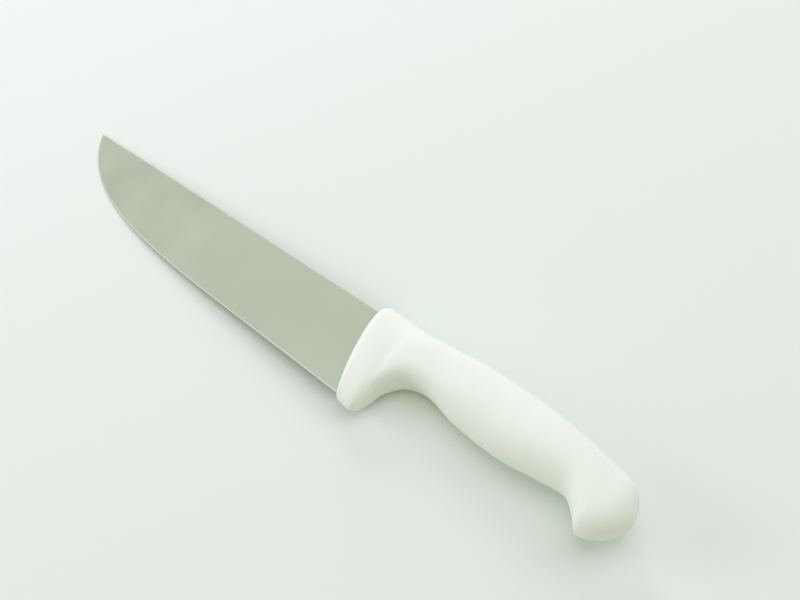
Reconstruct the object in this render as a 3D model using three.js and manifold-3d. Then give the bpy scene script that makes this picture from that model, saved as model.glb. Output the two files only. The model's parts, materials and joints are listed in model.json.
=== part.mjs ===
// A butcher knife: a flat-ground steel blade whose hidden tang is cast into a plastic handle.
// Millimetres. The knife lies on its side with +X from tip to pommel, +Y to the spine and +Z up.
// It is drawn in a knife frame: x from the handle's front, y from the spine, z from the middle.

import * as THREE from "three";
import { mergeVertices } from "three/addons/utils/BufferGeometryUtils.js";
import Module from "manifold-3d";

// Blade
const bladeLength = 176.5; // tip to handle, along the spine
const bladeWidth = 37.4; // spine to edge, at the handle
const stockThickness = 2.2; // the sheet that the blade is stamped from
const edgeThickness = 0.5; // steel left behind the bevel
const apexThickness = 0.1;
const bevelWidth = 0.5;
const spineEase = 0.25; // chamfer along the spine
const shoulderDrop = 0.5; // least depth of the bevel's shoulder below the spine
const edgeStraight = 63.5; // straight run of the edge, in front of the handle
const edgeRise = 2.5; // rise of the edge over its straight run
const tipAngle = 61.5; // degrees between spine and edge at the tip
const tipPull = 30.5; // how far the edge keeps the tip's direction
const bellyPull = 60; // how far the edge keeps the straight run's direction
const faceMargin = 4; // the clear flat of the blade ends this far from the handle

// Heel and tang, inside the handle
const heelDepth = 14.5; // full-width steel behind the handle's front
const tangStart = 8.5;
const tangSetDown = 2.4; // from the spine to the tang's upper side
const tangCover = 3.4; // plastic between the tang and the finger recess
const tangEndCover = 28; // plastic behind the tang's end
const tangCorner = 3;
const keyHole = 5; // holes that the plastic runs through
const keyFirst = 45.5;
const keyPitch = 34;
const keyCount = 2;
const fitClearance = 0.3; // round the steel

// Handle, its back: lengths from the front, heights from the spine line
const handleLength = 131.1;
const spineCover = 3.8; // plastic above the spine at the front
const backPitch = 5.8; // spacing of the guard's sections along the back
const dipRise = 2.8;
const recessRise = 3.6;
const gripRise = 5.2;
const bellyRise = 4.9;
const rearRise = 3.3;
const neckRise = 1.4;
const hookRise = 0.2;
const pommelDrop = 1.1;

// Handle, its lower side: lengths from the front or the end, depths from the spine line
const lipUpperRadius = 3.4; // rounding of the front's rim, at the back
const lipLowerRadius = 1.2; // and at the edge
const frontSetBack = 9.9; // the front leans back by this much at the edge
const frontBow = 1.9; // and bows by this much towards the tip
const lipSwell = 1.9; // extra rounding of the rim, halfway down
const edgeCover = 2; // plastic below the edge at the guard
const guardAt = 17.7;
const guardRound = 4.6; // from the guard's lowest point up to its back
const guardBack = 20.3;
const flankAt = 21.7;
const flankDepth = 27.6;
const scoopAt = 27.2;
const scoopDepth = 19.4;
const recessAt = 37.6;
const recessDepth = 17; // the finger recess
const gripAt = 54.6;
const gripDepth = 21;
const bellyAt = 75.6;
const bellyDepth = 22.4;
const rearFromEnd = 38.5;
const rearDepth = 20.6;
const neckFromEnd = 26.5;
const neckDepth = 19.9;
const hookFromEnd = 19.3;
const hookDepth = 24.9;
const pommelReach = 12.8; // the rounded end, behind the hook
const pommelDepth = 29.7; // the hook's lowest point
const pommelLean = 2.7; // the hook's lowest point lies in front of the back's end
const endFlat = 0.07; // share of the rounded end's turn that is left flat
const domeStart = 0.08; // share of the rounded end that the curve up to it takes over
const domeLead = 0.35; // share of the rounded end that this curve heads along

// Handle, half of its thickness at its sections' upper and lower ends
const lipUpper = 10.5;
const lipLower = 6.3;
const guardUpper = 10.7;
const guardLower = 6.8;
const flankLower = 8.4;
const scoopLower = 9.6;
const recessLower = 10.2;
const bellyHalf = 11;
const neckHalf = 10.4;
const pommelHalf = 10;

// Handle, how square its sections are: 2 is an ellipse
const guardSquare = 2.6;
const flankSquare = 2.8;
const recessSquare = 3.6;
const bellySquare = 2.4;

// How the knife lies
const steelDensity = 7.75;
const plasticDensity = 0.91;
const restStep = 0.05; // radians, the search's first step
const restFinest = 0.00001; // and its last
const restDirections = 24;

// Fineness of the facets
const bellySteps = 28;
const sectionSides = 32;
const sectionSteps = 3;
const lipSteps = 3;
const domeSteps = 8;
const holeSides = 10;

const wasm = await Module();
wasm.setup();

// Joins and cuts

function solidOf(geometry) {
  const bare = geometry.clone();
  bare.deleteAttribute("normal");
  bare.deleteAttribute("uv");
  const merged = mergeVertices(bare);
  const mesh = new wasm.Mesh({
    numProp: 3,
    vertProperties: new Float32Array(merged.attributes.position.array),
    triVerts: new Uint32Array(merged.index.array),
  });
  return new wasm.Manifold(mesh);
}

function geometryOf(solid) {
  const mesh = solid.getMesh();
  const geometry = new THREE.BufferGeometry();
  geometry.setAttribute("position", new THREE.BufferAttribute(mesh.vertProperties, mesh.numProp));
  geometry.setIndex(new THREE.BufferAttribute(mesh.triVerts, 1));
  geometry.computeVertexNormals();
  return geometry;
}

// A closed skin over rings of points, with a fan of triangles over each end.
function loft(rings) {
  const sides = rings[0].length;
  const points = rings.flat();
  const index = [];
  for (let i = 0; i + 1 < rings.length; i += 1) {
    for (let j = 0; j < sides; j += 1) {
      const a = i * sides + j;
      const b = i * sides + ((j + 1) % sides);
      index.push(a, b, b + sides, a, b + sides, a + sides);
    }
  }
  const last = (rings.length - 1) * sides;
  for (const start of [0, last]) {
    const middle = new THREE.Vector3();
    points.slice(start, start + sides).forEach((point) => middle.addScaledVector(point, 1 / sides));
    const centre = points.push(middle) - 1;
    for (let j = 0; j < sides; j += 1) {
      const a = start + j;
      const b = start + ((j + 1) % sides);
      index.push(...(start === 0 ? [b, a, centre] : [a, b, centre]));
    }
  }
  const geometry = new THREE.BufferGeometry().setFromPoints(points);
  geometry.setIndex(index);
  return geometry;
}

// Blade

const edgeSlope = edgeRise / edgeStraight;
const grindSlope = (stockThickness - edgeThickness) / 2 / (bladeWidth - bevelWidth);

// The edge is a straight run out of the handle, and one curve from there up to the tip.
function edgeAt(x) {
  return new THREE.Vector2(x, -bladeWidth - edgeSlope * x);
}

function bellyCurve() {
  const tip = new THREE.Vector2(-bladeLength, 0);
  const turn = THREE.MathUtils.degToRad(tipAngle);
  const start = edgeAt(-edgeStraight);
  const down = new THREE.Vector2(Math.cos(turn), -Math.sin(turn));
  const ahead = new THREE.Vector2(-1, edgeSlope).normalize();
  const nearTip = tip.clone().addScaledVector(down, tipPull);
  const nearRun = start.clone().addScaledVector(ahead, bellyPull);
  return new THREE.CubicBezierCurve(tip, nearTip, nearRun, start);
}

// A ring across the blade: eased spine, ground flat, the bevel's shoulder and the apex.
function bladeRing(edge, tangent, grow) {
  const inward = new THREE.Vector2(-tangent.y, tangent.x);
  const shoulder = edge.clone().addScaledVector(inward, bevelWidth);
  shoulder.y = Math.min(shoulder.y, -shoulderDrop);
  const apex = edge.clone().addScaledVector(inward, -grow);
  const half = (y) => edgeThickness / 2 + grindSlope * (y - shoulder.y);
  const ease = Math.min(spineEase, half(0) / 2);
  const side = [
    [shoulder.x, grow, half(-ease) - ease + grow],
    [shoulder.x, grow - ease, half(-ease) + grow],
    [shoulder.x, shoulder.y, half(shoulder.y) + grow],
    [apex.x, apex.y, apexThickness / 2 + grow],
  ];
  const upper = side.map(([x, y, z]) => new THREE.Vector3(x, y, z));
  const lower = side.map(([x, y, z]) => new THREE.Vector3(x, y, -z)).reverse();
  return [...upper, ...lower];
}

function straightRing(x, grow) {
  const tangent = new THREE.Vector2(1, -edgeSlope).normalize();
  return bladeRing(edgeAt(x), tangent, grow);
}

function groundBlade() {
  const curve = bellyCurve();
  const rings = [];
  for (let i = 0; i < bellySteps; i += 1) {
    const t = i / bellySteps;
    rings.push(bladeRing(curve.getPoint(t), curve.getTangent(t), 0));
  }
  for (const x of [-edgeStraight, -faceMargin, heelDepth]) {
    rings.push(straightRing(x, 0));
  }
  return loft(rings);
}

// The tang is a flat strip with round corners and holes, which grow widens for its cavity.
function tangPlate(grow) {
  const left = tangStart - grow;
  const right = handleLength - tangEndCover + grow;
  const upper = -tangSetDown + grow;
  const lower = -recessDepth + tangCover - grow;
  const corner = tangCorner + grow;
  const outline = new THREE.Shape();
  outline.moveTo(left, lower);
  outline.lineTo(right - corner, lower);
  outline.absarc(right - corner, lower + corner, corner, -Math.PI / 2, 0);
  outline.absarc(right - corner, upper - corner, corner, 0, Math.PI / 2);
  outline.lineTo(left, upper);
  outline.closePath();
  for (let i = 0; i < keyCount; i += 1) {
    const hole = new THREE.Path();
    const middle = (upper + lower) / 2;
    hole.absarc(keyFirst + i * keyPitch, middle, keyHole / 2 - grow, 0, 2 * Math.PI, true);
    outline.holes.push(hole);
  }
  const depth = stockThickness + 2 * grow;
  const options = { depth, bevelEnabled: false, curveSegments: holeSides };
  return new THREE.ExtrudeGeometry(outline, options).translate(0, 0, -depth / 2);
}

function bladeGeometry() {
  const ground = solidOf(groundBlade());
  return geometryOf(ground.add(solidOf(tangPlate(0))));
}

// Handle

// Sections from the front to the hook. Each has an upper and a lower end, half of its thickness at
// both, how square its upper and its lower half are, and how far it bows towards the tip.
function handleSections() {
  const guardSteps = 4;
  const back = (step) => lipUpperRadius + step * backPitch;
  const fall = (step) => THREE.MathUtils.lerp(spineCover, dipRise, step / guardSteps);
  const footAt = frontSetBack + lipLowerRadius;
  const footY = edgeAt(footAt).y - edgeCover;
  const guardY = edgeAt(guardAt).y - edgeCover;
  const backY = guardY + guardRound;
  const rearAt = handleLength - rearFromEnd;
  const neckAt = handleLength - neckFromEnd;
  const hookAt = handleLength - hookFromEnd;
  const bow = frontBow - lipSwell;
  const guard = [guardSquare, guardSquare];
  const flank = [guardSquare, flankSquare];
  const recess = [guardSquare, recessSquare];
  const plain = [bellySquare, bellySquare];
  return [
    [back(0), fall(0), footAt, footY, lipUpper, lipLower, ...guard, bow],
    [back(1), fall(1), guardAt, guardY, guardUpper, guardLower, ...guard, bow / 2],
    [back(2), fall(2), guardBack, backY, guardUpper, guardLower, ...flank, 0],
    [back(3), fall(3), flankAt, -flankDepth, guardUpper, flankLower, ...flank, 0],
    [back(4), fall(4), scoopAt, -scoopDepth, guardUpper, scoopLower, ...recess, 0],
    [recessAt, recessRise, recessAt, -recessDepth, guardUpper, recessLower, ...recess, 0],
    [gripAt, gripRise, gripAt, -gripDepth, bellyHalf, bellyHalf, ...plain, 0],
    [bellyAt, bellyRise, bellyAt, -bellyDepth, bellyHalf, bellyHalf, ...plain, 0],
    [rearAt, rearRise, rearAt, -rearDepth, bellyHalf, bellyHalf, ...plain, 0],
    [neckAt, neckRise, neckAt, -neckDepth, neckHalf, neckHalf, ...plain, 0],
    [hookAt, hookRise, hookAt, -hookDepth, neckHalf, neckHalf, ...plain, 0],
  ];
}

// A section of the rounded end, whose share runs from 0 at the hook to 1 at the very end.
function domeSection(share) {
  const turn = (Math.PI / 2) * (1 - share);
  const rise = Math.sin(turn);
  const x = handleLength - pommelReach * (1 - Math.cos(turn));
  const middle = -(pommelDrop + pommelDepth) / 2;
  const reach = (rise * (pommelDepth - pommelDrop)) / 2;
  const half = pommelHalf * Math.sqrt(rise);
  const lowX = x - pommelLean * rise;
  return [x, middle + reach, lowX, middle - reach, half, half, bellySquare, bellySquare, 0];
}

// A row past the rounded end's first one, so that the curve up to it takes its direction.
function leadRow(hook) {
  const tiny = 0.01;
  const first = domeSection(domeStart);
  const next = domeSection(domeStart + tiny);
  return hook.map((value, k) => value + (2 * domeLead * (next[k] - first[k])) / tiny);
}

// A smooth curve through every number of the rows, at row t.
function between(rows, t) {
  const i = Math.min(Math.floor(t), rows.length - 2);
  const u = t - i;
  const p1 = rows[i];
  const p2 = rows[i + 1];
  return p1.map((value, k) => {
    const p0 = i > 0 ? rows[i - 1][k] : 2 * value - p2[k];
    const p3 = i + 2 < rows.length ? rows[i + 2][k] : 2 * p2[k] - value;
    const slope1 = (p2[k] - p0) / 2;
    const slope2 = (p3 - value) / 2;
    const rest = 2 * (value - p2[k]) + slope1 + slope2;
    return value + u * (slope1 + u * (3 * (p2[k] - value) - 2 * slope1 - slope2 + u * rest));
  });
}

// A ring round a section. On the lip it is drawn in and moved towards the tip, most at a turn of 0.
function sectionRing(section, lipTurn) {
  const [topX, topY, lowX, lowY, upperHalf, lowerHalf, upperSquare, lowerSquare, bow] = section;
  const top = new THREE.Vector2(topX, topY);
  const low = new THREE.Vector2(lowX, lowY);
  const middle = top.clone().add(low).multiplyScalar(0.5);
  const up = top.clone().sub(middle);
  const reach = up.length();
  up.normalize();
  const ahead = new THREE.Vector2(-up.y, up.x);
  const ring = [];
  for (let j = 0; j < sectionSides; j += 1) {
    const turn = (2 * Math.PI * j) / sectionSides;
    const square = Math.cos(turn) > 0 ? upperSquare : lowerSquare;
    const rounded = (value) => Math.sign(value) * Math.abs(value) ** (2 / square);
    const along = rounded(Math.cos(turn));
    const share = (along + 1) / 2;
    const swell = lipSwell * (1 - along * along);
    const radius = THREE.MathUtils.lerp(lipLowerRadius, lipUpperRadius, share) + swell;
    const inset = radius * (1 - Math.sin(lipTurn));
    const half = THREE.MathUtils.lerp(lowerHalf, upperHalf, share) - inset;
    const point = middle.clone().addScaledVector(up, along * (reach - inset));
    point.addScaledVector(ahead, bow * (1 - along * along) + radius * Math.cos(lipTurn));
    ring.push(new THREE.Vector3(point.x, point.y, rounded(Math.sin(turn)) * half));
  }
  return ring;
}

function handleSkin() {
  const plainTurn = Math.PI / 2;
  const sections = handleSections();
  const domeShare = (i) => domeStart + ((1 - endFlat - domeStart) * i) / domeSteps;
  const dome = Array.from({ length: domeSteps + 1 }, (_, i) => domeSection(domeShare(i)));
  const rows = [...sections, dome[0], leadRow(sections.at(-1))];
  const rings = [];
  for (let i = 0; i < lipSteps; i += 1) {
    rings.push(sectionRing(rows[0], (plainTurn * i) / lipSteps));
  }
  for (let i = 0; i < sections.length * sectionSteps; i += 1) {
    rings.push(sectionRing(between(rows, i / sectionSteps), plainTurn));
  }
  dome.forEach((section) => rings.push(sectionRing(section, plainTurn)));
  return loft(rings);
}

// The handle is cut out round the heel and the tang, and keeps plastic in the tang's holes.
function handleGeometry() {
  const heel = loft([-faceMargin, heelDepth + fitClearance].map((x) => straightRing(x, fitClearance)));
  const skin = solidOf(handleSkin());
  return geometryOf(skin.subtract(solidOf(heel)).subtract(solidOf(tangPlate(fitClearance))));
}

// Assembly

const steel = new THREE.MeshStandardMaterial({ color: "#b4bbae", roughness: 0.38, metalness: 1 });
const plastic = new THREE.MeshStandardMaterial({ color: "#eef2ea", roughness: 0.45, metalness: 0 });

const blade = new THREE.Mesh(bladeGeometry(), steel);
blade.name = "blade";
const handle = new THREE.Mesh(handleGeometry(), plastic);
handle.name = "handle";

// The knife lies on its side as it comes to rest on a table, with its centre of mass lowest.

function trianglesOf(geometry) {
  const place = geometry.attributes.position;
  const corner = (i) => new THREE.Vector3().fromBufferAttribute(place, geometry.index.getX(i));
  const count = geometry.index.count / 3;
  return Array.from({ length: count }, (_, i) => [corner(3 * i), corner(3 * i + 1), corner(3 * i + 2)]);
}

function centreOfMass() {
  const centre = new THREE.Vector3();
  let mass = 0;
  for (const [mesh, density] of [[blade, steelDensity], [handle, plasticDensity]]) {
    for (const [a, b, c] of trianglesOf(mesh.geometry)) {
      const share = density * a.dot(b.clone().cross(c));
      centre.addScaledVector(a.clone().add(b).add(c), share / 4);
      mass += share;
    }
  }
  return centre.divideScalar(mass);
}

function restingTurn() {
  const centre = centreOfMass();
  const points = [blade, handle].flatMap((mesh) => trianglesOf(mesh.geometry).flat());
  const turnBy = (roll, pitch) => new THREE.Euler(roll, pitch, 0, "YXZ");
  const height = (turn) => {
    const back = new THREE.Quaternion().setFromEuler(turn).invert();
    const up = new THREE.Vector3(0, 0, 1).applyQuaternion(back);
    return points.reduce((most, point) => Math.max(most, centre.dot(up) - point.dot(up)), 0);
  };
  let best = turnBy(0, 0);
  let lowest = height(best);
  for (let step = restStep; step > restFinest; ) {
    const before = lowest;
    for (let k = 0; k < restDirections; k += 1) {
      const way = (2 * Math.PI * k) / restDirections;
      const trial = turnBy(best.x + step * Math.cos(way), best.y + step * Math.sin(way));
      const found = height(trial);
      if (found < lowest) {
        best = trial;
        lowest = found;
      }
    }
    step = lowest < before ? step : step / 2;
  }
  return best;
}

const knife = new THREE.Group();
knife.add(blade, handle);
knife.rotation.copy(restingTurn());

const model = new THREE.Group();
model.add(knife);
model.updateMatrixWorld(true);
const box = new THREE.Box3().setFromObject(model, true);
const middle = box.getCenter(new THREE.Vector3());
knife.position.set(-middle.x, -middle.y, -box.min.z);

export default model;
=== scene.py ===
import json
import math

import bmesh
import bpy
from mathutils import Color, Euler, Matrix, Quaternion, Vector
from mathutils.geometry import interpolate_bezier


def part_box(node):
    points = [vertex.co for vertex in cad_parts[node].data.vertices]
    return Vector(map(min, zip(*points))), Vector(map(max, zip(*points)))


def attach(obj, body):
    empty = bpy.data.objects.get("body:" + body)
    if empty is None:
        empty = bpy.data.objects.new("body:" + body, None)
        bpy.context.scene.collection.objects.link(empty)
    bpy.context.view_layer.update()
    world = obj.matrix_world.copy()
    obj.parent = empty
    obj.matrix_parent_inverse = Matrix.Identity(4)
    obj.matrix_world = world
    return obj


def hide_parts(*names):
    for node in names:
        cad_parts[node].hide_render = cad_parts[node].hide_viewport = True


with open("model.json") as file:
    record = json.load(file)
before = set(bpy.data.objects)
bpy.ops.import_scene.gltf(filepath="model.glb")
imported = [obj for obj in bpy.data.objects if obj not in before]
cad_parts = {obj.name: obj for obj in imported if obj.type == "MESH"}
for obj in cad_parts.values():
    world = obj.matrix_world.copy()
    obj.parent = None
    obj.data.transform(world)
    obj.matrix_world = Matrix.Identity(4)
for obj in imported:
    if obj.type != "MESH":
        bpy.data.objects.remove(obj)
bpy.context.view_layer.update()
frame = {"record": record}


# Blade
# One piece of stainless sheet, stamped to its outline, ground flat on both sides from the spine to the
# edge and honed to a narrow bevel. Its heel and its tang run on into the handle, which is cast round them.
# Its sizes are millimetres in the knife's frame: x back from the handle's front, y up from the spine.

blade_length = 176.5
blade_width = 37.4
stock_thickness = 2.2
edge_thickness = 0.5
apex_thickness = 0.1
bevel_width = 0.5
spine_ease = 0.25
edge_straight = 63.5
edge_rise = 2.5
tip_angle = math.radians(61.5)
tip_pull = 30.5
belly_pull = 60
belly_steps = 72
heel_depth = 14.5
tang_upper = -2.4
tang_lower = -13.6
tang_end = 103.1
tang_corner = 3
key_places = (45.5, 79.5)
key_radius = 2.5
key_room = 5.1
key_sides = 32
flat_tolerance = 0.001

edge_slope = edge_rise / edge_straight
grind_slope = (stock_thickness - edge_thickness) / 2 / (blade_width - bevel_width)
stock_half = stock_thickness / 2
quarter_turn = [math.radians(turn) for turn in (0, 30, 60, 90)]
shoulder_point = len(quarter_turn)
apex_point = shoulder_point + 1


def edge_at(x):
    """The straight run of the edge."""
    return Vector((x, -blade_width - edge_slope * x))


def steel_ring(x, top, ease, half, shoulder, apex):
    """Points round the steel: its eased spine, one side, shoulder and apex, and back up the other side."""
    side = []
    for turn in quarter_turn:
        y = top - ease + ease * math.cos(turn)
        side.append(Vector((x, y, half - ease + ease * math.sin(turn))))
    side += [Vector(shoulder), Vector(apex)]
    other = [Vector((point.x, point.y, -point.z)) for point in reversed(side)]
    return side + other


def blade_ring(edge, along):
    """A ring of the ground blade, from the spine to a point of the edge."""
    inward = Vector((-along.y, along.x))
    shoulder = edge + inward * bevel_width
    shoulder.y = min(shoulder.y, -2 * spine_ease)
    spine_half = edge_thickness / 2 - grind_slope * shoulder.y
    ease = min(spine_ease, spine_half / 2)
    half = spine_half - grind_slope * ease
    shoulder_corner = (shoulder.x, shoulder.y, edge_thickness / 2)
    apex_corner = (edge.x, edge.y, apex_thickness / 2)
    return steel_ring(shoulder.x, 0, ease, half, shoulder_corner, apex_corner)


def tang_ring(x, inset):
    """A ring of the tang, drawn in at its rounded end."""
    lower = tang_lower + inset
    shoulder_corner = (x, lower + spine_ease, stock_half)
    apex_corner = (x, lower, stock_half - spine_ease)
    return steel_ring(x, tang_upper - inset, spine_ease, stock_half, shoulder_corner, apex_corner)


def loft(bm, rings, creases=()):
    """Bridges closed rings of points and closes both ends. Lines along the creases' points stay sharp."""
    circles = []
    for ring in rings:
        circle = bmesh.ops.create_circle(bm, segments=len(ring), radius=1)["verts"]
        for vert, point in zip(circle, ring):
            vert.co = point
        circles.append(circle)
    loops = [{edge for vert in circle for edge in vert.link_edges} for circle in circles]
    for near, far in zip(loops, loops[1:]):
        bmesh.ops.bridge_loops(bm, edges=list(near | far))
    bmesh.ops.holes_fill(bm, edges=[*loops[0], *loops[-1]], sides=0)
    for near, far in zip(circles, circles[1:]):
        for j in creases:
            bm.edges.get((near[j], far[j])).smooth = False
    return circles


def bore(bm, x, radius, half):
    """Joins the tang's two flat sides by a round wall: a hole in the steel, or a pin across the cavity."""
    middle_y = (tang_upper + tang_lower) / 2
    rims = []
    for side in (half, -half):
        flat = []
        for face in bm.faces:
            place = face.calc_center_median()
            near = abs(place.x - x) < key_room and tang_lower < place.y < tang_upper
            if near and abs(place.z - side) < flat_tolerance:
                flat.append(face)
        borders = {edge for face in flat for edge in face.edges}
        outline = [edge for edge in borders if not set(edge.link_faces) <= set(flat)]
        bmesh.ops.delete(bm, geom=flat, context="FACES")
        centre = Matrix.Translation((x, middle_y, side))
        circle = bmesh.ops.create_circle(bm, segments=key_sides, radius=radius, matrix=centre)["verts"]
        rim = list({edge for vert in circle for edge in vert.link_edges})
        bmesh.ops.bridge_loops(bm, edges=outline + rim)
        rims += rim
    bmesh.ops.bridge_loops(bm, edges=rims)


tip = Vector((-blade_length, 0))
run_start = edge_at(-edge_straight)
near_tip = tip + tip_pull * Vector((math.cos(tip_angle), -math.sin(tip_angle)))
near_run = run_start + belly_pull * Vector((-1, edge_slope)).normalized()
belly = interpolate_bezier(tip, near_tip, near_run, run_start, belly_steps + 1)
ahead = [near_tip - tip] + [after - before for before, after in zip(belly, belly[2:])]
blade_rings = [blade_ring(point, along.normalized()) for point, along in zip(belly, ahead)]
for x in (-edge_straight, 0, heel_depth):
    blade_rings.append(blade_ring(edge_at(x), Vector((1, -edge_slope)).normalized()))
ground_rings = len(blade_rings)

# Stations along the tang, each with how far its rounded end is drawn in there.
tang_stations = [(heel_depth, 0)]
for key_at in key_places:
    tang_stations += [(key_at - key_room, 0), (key_at + key_room, 0)]
for turn in quarter_turn:
    tang_stations.append((tang_end - tang_corner * (1 - math.sin(turn)), tang_corner * (1 - math.cos(turn))))
blade_rings += [tang_ring(*station) for station in tang_stations]

# The knife lies on its side, on the belly of its edge and the front of its handle. The two sides of the
# blade are mounts, so they say how it is turned, and the blade's solid says where it lies.
upper_side, lower_side = (Vector(mount["axis"]) for mount in frame["record"]["mounts"])
lie_up = (upper_side - lower_side).normalized()
lie_angles = Euler((-math.asin(lie_up.y), math.atan2(lie_up.x, lie_up.z), 0), "YXZ")
lie_turn = lie_angles.to_matrix().to_4x4()
turned = [lie_turn @ point for ring in blade_rings for point in ring]
corner = Vector(min(point[k] for point in turned) for k in range(3))
millimetre = 0.001
lie = Matrix.Scale(millimetre, 4) @ Matrix.Translation(-corner) @ lie_turn
lie = Matrix.Translation(Vector(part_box("blade")[0])) @ lie


def finished(name, bm, smallest_crease):
    """Lays a mesh as the knife lies, keeps its corners sharp and makes it a piece."""
    bmesh.ops.recalc_face_normals(bm, faces=bm.faces)
    for face in bm.faces:
        face.smooth = True
    for edge in bm.edges:
        if edge.calc_face_angle(0) > smallest_crease:
            edge.smooth = False
    bmesh.ops.transform(bm, matrix=lie, verts=bm.verts)
    mesh = bpy.data.meshes.new(name)
    bm.to_mesh(mesh)
    bm.free()
    piece = bpy.data.objects.new(name, mesh)
    bpy.context.scene.collection.objects.link(piece)
    return piece


blade_mesh = bmesh.new()
side_lines = range(shoulder_point - 1, apex_point + 1)
other_lines = [len(blade_rings[0]) - 1 - j for j in side_lines]
blade_circles = loft(blade_mesh, blade_rings, [*side_lines, *other_lines])
ground_circles = blade_circles[:ground_rings]
# The bevel's faces take the honed steel, whose lighter colour is a painted highlight along the edge.
for near, far in zip(ground_circles, ground_circles[1:]):
    for a, b in ((shoulder_point, apex_point), (-1 - apex_point, -1 - shoulder_point)):
        blade_mesh.faces.get((near[a], near[b], far[b], far[a])).material_index = 1
for key_at in key_places:
    bore(blade_mesh, key_at, key_radius, stock_half)
blade = finished("ground_blade", blade_mesh, smallest_crease=math.radians(40))


def colour(hex_code):
    """A colour written as sRGB hex, as the linear values that shaders take."""
    channels = [int(hex_code[i:i + 2], 16) / 255 for i in (1, 3, 5)]
    return (*Color(channels).from_srgb_to_scene_linear(), 1)


def add(tree, kind, sockets=None, **settings):
    """Adds a node with its settings, and gives its sockets a value or a link."""
    made = tree.nodes.new("ShaderNode" + kind)
    for name, value in settings.items():
        setattr(made, name, value)
    for name, value in (sockets or {}).items():
        if isinstance(value, bpy.types.NodeSocket):
            tree.links.new(value, made.inputs[name])
        else:
            made.inputs[name].default_value = value
    return made


def bare_tree(block):
    """An empty node tree for a material or the world."""
    block.use_nodes = True
    block.node_tree.nodes.clear()
    return block.node_tree


# Satin stainless steel, ground across the blade on fine grit and brushed: soft broad reflections and faint
# lines from spine to edge. Its colour also carries a painted reflection: soft darker and lighter clouds,
# strongest at the tip and fading towards the heel.
satin_steel = bpy.data.materials.new("satin_ground_steel")
tree = bare_tree(satin_steel)
place = add(tree, "TexCoord").outputs["Object"]
grit_spacing = 0.4 * millimetre
grit_length = 20 * millimetre
reflection_cloud_size = 30 * millimetre
reflection_cloud_run = 110 * millimetre
clear_tint = 0.65
heel_reflection_share = 0.25
steel_angles = lie_angles.to_matrix().to_euler("XYZ")
grit = {"Vector": place, "Rotation": steel_angles, "Scale": (grit_spacing, grit_length, grit_length)}
lines_place = add(tree, "Mapping", grit, vector_type="TEXTURE").outputs[0]
lines = add(tree, "TexNoise", {"Vector": lines_place, "Scale": 1.0, "Detail": 3.0, "Roughness": 0.6})
# Painted reflection: noise clouds darken and lighten the steel's colour, most near the tip.
painted_reflection_clouds = add(tree, "TexNoise", {"Vector": place, "Scale": 1 / reflection_cloud_size, "Detail": 2.0, "Roughness": 0.5})
reflection_tint = add(tree, "MapRange", {"Value": painted_reflection_clouds.outputs["Fac"], "From Min": 0.3, "From Max": 0.7})
along_blade = add(tree, "SeparateXYZ", {"Vector": place}).outputs["X"]
tip_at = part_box("blade")[0][0]
reflection_share = add(tree, "MapRange", {
    "Value": along_blade,
    "From Min": tip_at,
    "From Max": tip_at + reflection_cloud_run,
    "To Min": 1.0,
    "To Max": heel_reflection_share,
})
reflection_mix_inputs = {"Factor": reflection_share.outputs[0], "A": clear_tint, "B": reflection_tint.outputs[0]}
painted_reflection_mix = add(tree, "Mix", reflection_mix_inputs, data_type="FLOAT").outputs["Result"]
tones = {"Factor": painted_reflection_mix, "A": colour("#BFC2B3"), "B": colour("#D4D8C8")}
steel_and_reflection_tone = add(tree, "Mix", tones, data_type="RGBA").outputs["Result"]
gloss = add(tree, "MapRange", {"Value": lines.outputs["Fac"], "To Min": 0.36, "To Max": 0.46})
relief = add(tree, "Bump", {"Height": lines.outputs["Fac"], "Strength": 0.06, "Distance": 0.05 * millimetre})
steel = add(tree, "BsdfPrincipled", {
    "Base Color": steel_and_reflection_tone,
    "Metallic": 1.0,
    "Roughness": gloss.outputs[0],
    "Normal": relief.outputs[0],
})
add(tree, "OutputMaterial", {"Surface": steel.outputs[0]})

# The honed bevel is the same steel off a fine stone, so its reflections are tighter. It is also painted
# brighter than the satin steel: a painted highlight, the glint along the edge.
honed_steel_and_glint = bpy.data.materials.new("honed_steel_and_glint")
tree = bare_tree(honed_steel_and_glint)
grit["Vector"] = add(tree, "TexCoord").outputs["Object"]
lines_place = add(tree, "Mapping", grit, vector_type="TEXTURE").outputs[0]
lines = add(tree, "TexNoise", {"Vector": lines_place, "Scale": 1.0, "Detail": 3.0})
gloss = add(tree, "MapRange", {"Value": lines.outputs["Fac"], "To Min": 0.24, "To Max": 0.34})
steel = add(tree, "BsdfPrincipled", {
    "Base Color": colour("#E2E6DB"),
    "Metallic": 1.0,
    "Roughness": gloss.outputs[0],
})
add(tree, "OutputMaterial", {"Surface": steel.outputs[0]})

blade.data.materials.append(satin_steel)
blade.data.materials.append(honed_steel_and_glint)
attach(blade, "root")
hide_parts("blade")


# Handle
# One piece of white polypropylene, cast over the heel and the tang in a two-part mould, so it fills the
# tang's holes. Its guard, finger recess, grip and hooked pommel are one smooth skin, with a rounded lip
# where the blade comes out.

handle_length = 131.1
spine_cover = 3.8
back_pitch = 5.8
dip_rise = 2.8
recess_rise = 3.6
grip_rise = 5.2
belly_rise = 4.9
rear_rise = 3.3
neck_rise = 1.4
hook_rise = 0.2
pommel_drop = 1.1

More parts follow.
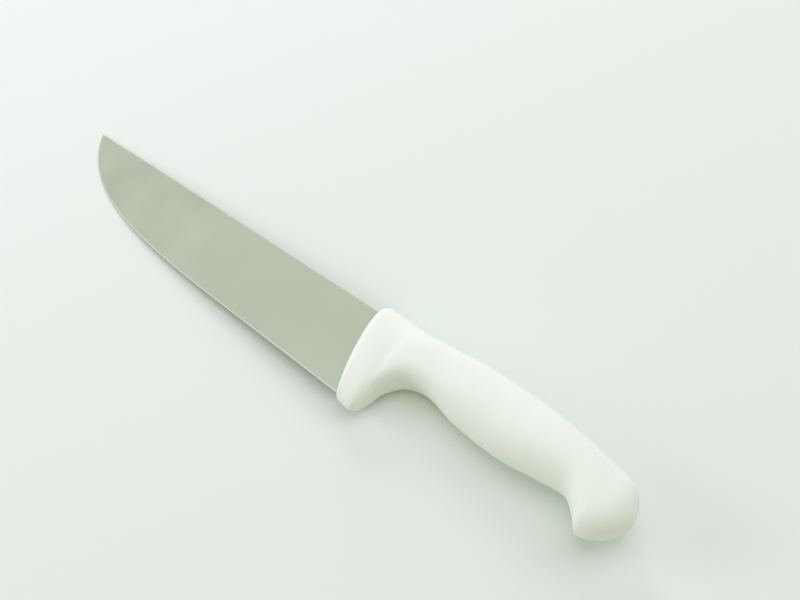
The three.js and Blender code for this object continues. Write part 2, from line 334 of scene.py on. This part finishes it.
lip_upper_radius = 3.4
lip_lower_radius = 1.2
front_set_back = 9.9
front_bow = 1.9
lip_swell = 1.9
edge_cover = 2
guard_at = 17.7
guard_round = 4.6
guard_back = 20.3
flank_at = 21.7
flank_depth = 27.6
scoop_at = 27.2
scoop_depth = 19.4
recess_at = 37.6
recess_depth = 17
grip_at = 54.6
grip_depth = 21
belly_at = 75.6
belly_depth = 22.4
rear_at = handle_length - 38.5
rear_depth = 20.6
neck_at = handle_length - 26.5
neck_depth = 19.9
hook_front_at = handle_length - 19.3
hook_front_depth = 24.9
pommel_reach = 12.8
pommel_depth = 29.7
pommel_lean = 2.7
end_flat = 0.02
dome_start = 0.08
dome_lead = 0.35
dome_step = 0.01

# Half of the thickness at each section's upper and lower end, and how square the sections are.
lip_upper = 10.5
lip_lower = 6.3
guard_upper = 10.7
guard_lower = 6.8
flank_lower = 8.4
scoop_lower = 9.6
recess_lower = 10.2
belly_half = 11
neck_half = 10.4
pommel_half = 10
guard_square = 2.6
flank_square = 2.8
recess_square = 3.6
belly_square = 2.4

section_sides = 96
section_steps = 8
lip_steps = 8
dome_steps = 24
cast_gap = 0.03
slot_square = 8

foot_at = front_set_back + lip_lower_radius
foot_y = edge_at(foot_at).y - edge_cover
guard_y = edge_at(guard_at).y - edge_cover
back_y = guard_y + guard_round
guard_sections = 4


def back(step):
    """How far along the back one of the guard's sections stands."""
    return lip_upper_radius + step * back_pitch


def fall(step):
    """The height of the back at one of the guard's sections."""
    return spine_cover + (dip_rise - spine_cover) * step / guard_sections


def dome_section(share):
    """A section of the rounded end, whose share runs from 0 at the hook to 1 at the very end."""
    turn = math.pi / 2 * (1 - share)
    rise = math.sin(turn)
    x = handle_length - pommel_reach * (1 - math.cos(turn))
    half = pommel_half * math.sqrt(rise)
    middle = -(pommel_drop + pommel_depth) / 2
    reach = rise * (pommel_depth - pommel_drop) / 2
    return (x, middle + reach, x - pommel_lean * rise, middle - reach, half, half, *plain, 0)


# Each section has an upper and a lower end, half of its thickness at both, how square its upper and its
# lower half are, and how far it bows towards the tip.
guard = (guard_square, guard_square)
flank = (guard_square, flank_square)
recess = (guard_square, recess_square)
plain = (belly_square, belly_square)
sections = [
    (back(0), fall(0), foot_at, foot_y, lip_upper, lip_lower, *guard, front_bow - lip_swell),
    (back(1), fall(1), guard_at, guard_y, guard_upper, guard_lower, *guard, (front_bow - lip_swell) / 2),
    (back(2), fall(2), guard_back, back_y, guard_upper, guard_lower, *flank, 0),
    (back(3), fall(3), flank_at, -flank_depth, guard_upper, flank_lower, *flank, 0),
    (back(4), fall(4), scoop_at, -scoop_depth, guard_upper, scoop_lower, *recess, 0),
    (recess_at, recess_rise, recess_at, -recess_depth, guard_upper, recess_lower, *recess, 0),
    (grip_at, grip_rise, grip_at, -grip_depth, belly_half, belly_half, *plain, 0),
    (belly_at, belly_rise, belly_at, -belly_depth, belly_half, belly_half, *plain, 0),
    (rear_at, rear_rise, rear_at, -rear_depth, belly_half, belly_half, *plain, 0),
    (neck_at, neck_rise, neck_at, -neck_depth, neck_half, neck_half, *plain, 0),
    (hook_front_at, hook_rise, hook_front_at, -hook_front_depth, neck_half, neck_half, *plain, 0),
]


def between(rows, t):
    """A smooth curve through every number of the rows, at row t."""
    i = min(int(t), len(rows) - 2)
    u = t - i
    made = []
    for k, (a, b) in enumerate(zip(rows[i], rows[i + 1])):
        before = rows[i - 1][k] if i > 0 else 2 * a - b
        after = rows[i + 2][k] if i + 2 < len(rows) else 2 * b - a
        slope_a = (b - before) / 2
        slope_b = (after - a) / 2
        bend = 3 * (b - a) - 2 * slope_a - slope_b
        made.append(a + u * (slope_a + u * (bend + u * (2 * (a - b) + slope_a + slope_b))))
    return made


def rounded(value, square):
    """A share of a superellipse's half axis."""
    return math.copysign(abs(value) ** (2 / square), value)


def middling(low, high, along):
    """A value between a section's lower end, at -1, and its upper end, at 1."""
    return low + (high - low) * (along + 1) / 2


def section_ring(row, lip_turn=math.pi / 2):
    """A ring round a section. On the lip it is drawn in and moved towards the tip, most at a turn of 0."""
    top_x, top_y, low_x, low_y, upper_half, lower_half, upper_square, lower_square, bow = row
    top = Vector((top_x, top_y, 0))
    low = Vector((low_x, low_y, 0))
    middle = (top + low) / 2
    up = (top - middle).normalized()
    reach = (top - middle).length
    forward = Vector((-up.y, up.x, 0))
    ring = []
    for j in range(section_sides):
        turn = math.tau * j / section_sides
        square = upper_square if math.cos(turn) > 0 else lower_square
        along = rounded(math.cos(turn), square)
        radius = middling(lip_lower_radius, lip_upper_radius, along) + lip_swell * (1 - along * along)
        inset = radius * (1 - math.sin(lip_turn))
        half = middling(lower_half, upper_half, along) - inset
        step = forward * (bow * (1 - along * along) + radius * math.cos(lip_turn))
        across = Vector((0, 0, rounded(math.sin(turn), square) * half))
        ring.append(middle + up * along * (reach - inset) + step + across)
    return ring


def front_at(y):
    """Where the handle's front stands at a height."""
    along = 2 * (y - foot_y) / (spine_cover - foot_y) - 1
    lean = middling(foot_at, back(0), along)
    return lean - front_bow * (1 - along * along) - middling(lip_lower_radius, lip_upper_radius, along)


def cavity_ring(x_at, upper, lower, half_at):
    """A ring just clear of the steel. x_at and half_at give its place and half thickness at each height."""
    ring = []
    for j in range(section_sides):
        turn = math.tau * j / section_sides
        y = middling(lower - cast_gap, upper + cast_gap, rounded(math.cos(turn), slot_square))
        ring.append(Vector((x_at(y), y, rounded(math.sin(turn), slot_square) * (half_at(y) + cast_gap))))
    return ring


def heel_half(y):
    """Half of the steel's thickness at a height of the heel."""
    shoulder_y = edge_at(heel_depth).y + bevel_width
    ground = edge_thickness / 2 + grind_slope * (y - shoulder_y)
    return min(stock_half, max(ground, edge_thickness / 2))


cavity_rings = [cavity_ring(front_at, 0, edge_at(front_set_back).y, heel_half)]
cavity_rings.append(cavity_ring(lambda y: heel_depth + cast_gap, 0, edge_at(heel_depth).y, heel_half))
for x, inset in tang_stations:
    upper, lower = tang_upper - inset, tang_lower + inset
    cavity_rings.append(cavity_ring(lambda y: x + cast_gap, upper, lower, lambda y: stock_half))

# The row past the dome's first one gives the curve the dome's own direction where it runs into it.
dome_rows = zip(sections[-1], dome_section(dome_start), dome_section(dome_start + dome_step))
lead_row = [hook + 2 * dome_lead * (then - now) / dome_step for hook, now, then in dome_rows]
rows = sections + [dome_section(dome_start), lead_row]
handle_rings = cavity_rings[::-1]
for step in range(lip_steps):
    handle_rings.append(section_ring(sections[0], math.pi / 2 * step / lip_steps))
for step in range(len(sections) * section_steps):
    handle_rings.append(section_ring(between(rows, step / section_steps)))
for step in range(dome_steps + 1):
    share = dome_start + (1 - end_flat - dome_start) * step / dome_steps
    handle_rings.append(section_ring(dome_section(share)))

handle_mesh = bmesh.new()
loft(handle_mesh, handle_rings)
for key_at in key_places:
    bore(handle_mesh, key_at + cast_gap, key_radius - cast_gap, stock_half + cast_gap)
handle = finished("moulded_handle", handle_mesh, smallest_crease=math.radians(60))

# White polypropylene with a satin skin off a lightly blasted mould: soft highlights, light that seeps a
# little way in, and a grain too fine to see, which is drawn coarser here so that it breaks up the gloss.
satin_plastic = bpy.data.materials.new("satin_polypropylene")
tree = bare_tree(satin_plastic)
place = add(tree, "TexCoord").outputs["Object"]
grain_size = 0.6 * millimetre
haze_size = 40 * millimetre
grain = add(tree, "TexNoise", {"Vector": place, "Scale": 1 / grain_size, "Detail": 2.0})
haze = add(tree, "TexNoise", {"Vector": place, "Scale": 1 / haze_size, "Detail": 1.0})
tones = {"Factor": haze.outputs["Fac"], "A": colour("#EDF3EB"), "B": colour("#F2F7F0")}
plastic_tone = add(tree, "Mix", tones, data_type="RGBA").outputs["Result"]
gloss = add(tree, "MapRange", {"Value": grain.outputs["Fac"], "To Min": 0.38, "To Max": 0.5})
relief = add(tree, "Bump", {"Height": grain.outputs["Fac"], "Strength": 0.04, "Distance": 0.1 * millimetre})
plastic = add(tree, "BsdfPrincipled", {
    "Base Color": plastic_tone,
    "Roughness": gloss.outputs[0],
    "IOR": 1.49,
    "Subsurface Weight": 0.15,
    "Subsurface Radius": (1.0, 1.0, 0.8),
    "Subsurface Scale": 2 * millimetre,
    "Normal": relief.outputs[0],
})
add(tree, "OutputMaterial", {"Surface": plastic.outputs[0]})
handle.data.materials.append(satin_plastic)
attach(handle, "root")
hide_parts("handle")


# Table
# A plain pale matt sheet under the knife, which keeps the knife's shadow. Further out the eye and the steel
# see it fade into the pale room, so that no horizon shows from any side. Lengths from here on are metres.

table_half = 6
fade_start = 0.27
fade_end = 0.65
room_tone = colour("#E8F0E9")


def seen_rays(tree):
    """1 for what is looked at, straight on or in gloss or glass, and 0 for light that falls on things."""
    path = add(tree, "LightPath").outputs
    indirect = {0: path["Is Glossy Ray"], 1: path["Is Transmission Ray"]}
    mirrored = add(tree, "Math", indirect, operation="MAXIMUM").outputs[0]
    return add(tree, "Math", {0: path["Is Camera Ray"], 1: mirrored}, operation="MAXIMUM").outputs[0]


table_mesh = bmesh.new()
bmesh.ops.create_grid(table_mesh, x_segments=1, y_segments=1, size=table_half)
mesh = bpy.data.meshes.new("table")
table_mesh.to_mesh(mesh)
table_mesh.free()
table = bpy.data.objects.new("table", mesh)
bpy.context.scene.collection.objects.link(table)
pale_sheet = bpy.data.materials.new("pale_matt_sheet")
tree = bare_tree(pale_sheet)
sheet = add(tree, "BsdfPrincipled", {
    "Base Color": colour("#EAF1ED"),
    "Roughness": 0.9,
    "Specular IOR Level": 0.1,
})
distance = add(tree, "VectorMath", {0: add(tree, "TexCoord").outputs["Object"]}, operation="LENGTH")
reach = {"Value": distance.outputs["Value"], "From Min": fade_start, "From Max": fade_end}
far = add(tree, "MapRange", reach, interpolation_type="SMOOTHSTEP").outputs[0]
far_seen = add(tree, "Math", {0: far, 1: seen_rays(tree)}, operation="MULTIPLY").outputs[0]
far_room = add(tree, "Emission", {"Color": room_tone}).outputs[0]
faded = add(tree, "MixShader", {0: far_seen, 1: sheet.outputs[0], 2: far_room})
add(tree, "OutputMaterial", {"Surface": faded.outputs[0]})
table.data.materials.append(pale_sheet)


# Light
# Four round soft lamps, which gloss doesn't show: two low ones on the tip's side, a high one beyond the
# pommel's back and one almost right above. The even pale room shines softly on the knife and the table, and
# the camera and the steel see it in the far table's tone.

lamp_colour = colour("#EBEBFF")
lamps = {
    "low_back_lamp": {"azimuth": 135, "elevation": 20, "reach": 1.3, "size": 0.7, "power": 6.9},
    "low_front_lamp": {"azimuth": 210, "elevation": 22, "reach": 1.3, "size": 0.7, "power": 6.2},
    "high_lamp": {"azimuth": 60, "elevation": 50, "reach": 2.2, "size": 1.8, "power": 9.4},
    "top_lamp": {"azimuth": 120, "elevation": 82, "reach": 2.2, "size": 1.8, "power": 12.2},
}
for name, stand in lamps.items():
    lamp_data = bpy.data.lights.new(name, "AREA")
    lamp_data.shape = "DISK"
    lamp_data.size = stand["size"]
    lamp_data.energy = stand["power"]
    lamp_data.color = lamp_colour[:3]
    lamp = bpy.data.objects.new(name, lamp_data)
    lamp_turn = Euler((0, -math.radians(stand["elevation"]), math.radians(stand["azimuth"])))
    lamp.location = lamp_turn.to_matrix() @ Vector((stand["reach"], 0, 0))
    lamp.rotation_euler = (-lamp.location).to_track_quat("-Z", "Y").to_euler()
    lamp.visible_glossy = False
    bpy.context.scene.collection.objects.link(lamp)

room_light = 0.47
room = bpy.data.worlds.new("pale_room")
bpy.context.scene.world = room
tree = bare_tree(room)
shining = add(tree, "Background", {"Color": colour("#FFFFDF"), "Strength": room_light}).outputs[0]
shown = add(tree, "Background", {"Color": room_tone}).outputs[0]
air = add(tree, "MixShader", {0: seen_rays(tree), 1: shining, 2: shown})
add(tree, "OutputWorld", {"Surface": air.outputs[0]})


# Camera
# Above the near side of the handle, looking down along the knife to its tip, as in the photograph.

camera_at = Vector((0.2125, -0.1528, 0.4064))
camera_azimuth = math.radians(46.251)
camera_elevation = math.radians(56.681)
camera_roll = math.radians(-7.66)
camera_data = bpy.data.cameras.new("camera")
camera_data.lens = 51.9
camera_data.sensor_width = 36
camera_data.clip_start = 0.01
camera_data.clip_end = 50
camera = bpy.data.objects.new("camera", camera_data)
level = math.cos(camera_elevation)
forward = Vector((
    -math.sin(camera_azimuth) * level,
    math.cos(camera_azimuth) * level,
    -math.sin(camera_elevation),
))
camera.location = camera_at
camera.rotation_mode = "QUATERNION"
camera.rotation_quaternion = forward.to_track_quat("-Z", "Y") @ Quaternion((0, 0, 1), camera_roll)
bpy.context.scene.collection.objects.link(camera)
bpy.context.scene.camera = camera
bpy.context.scene.view_settings.view_transform = "Standard"
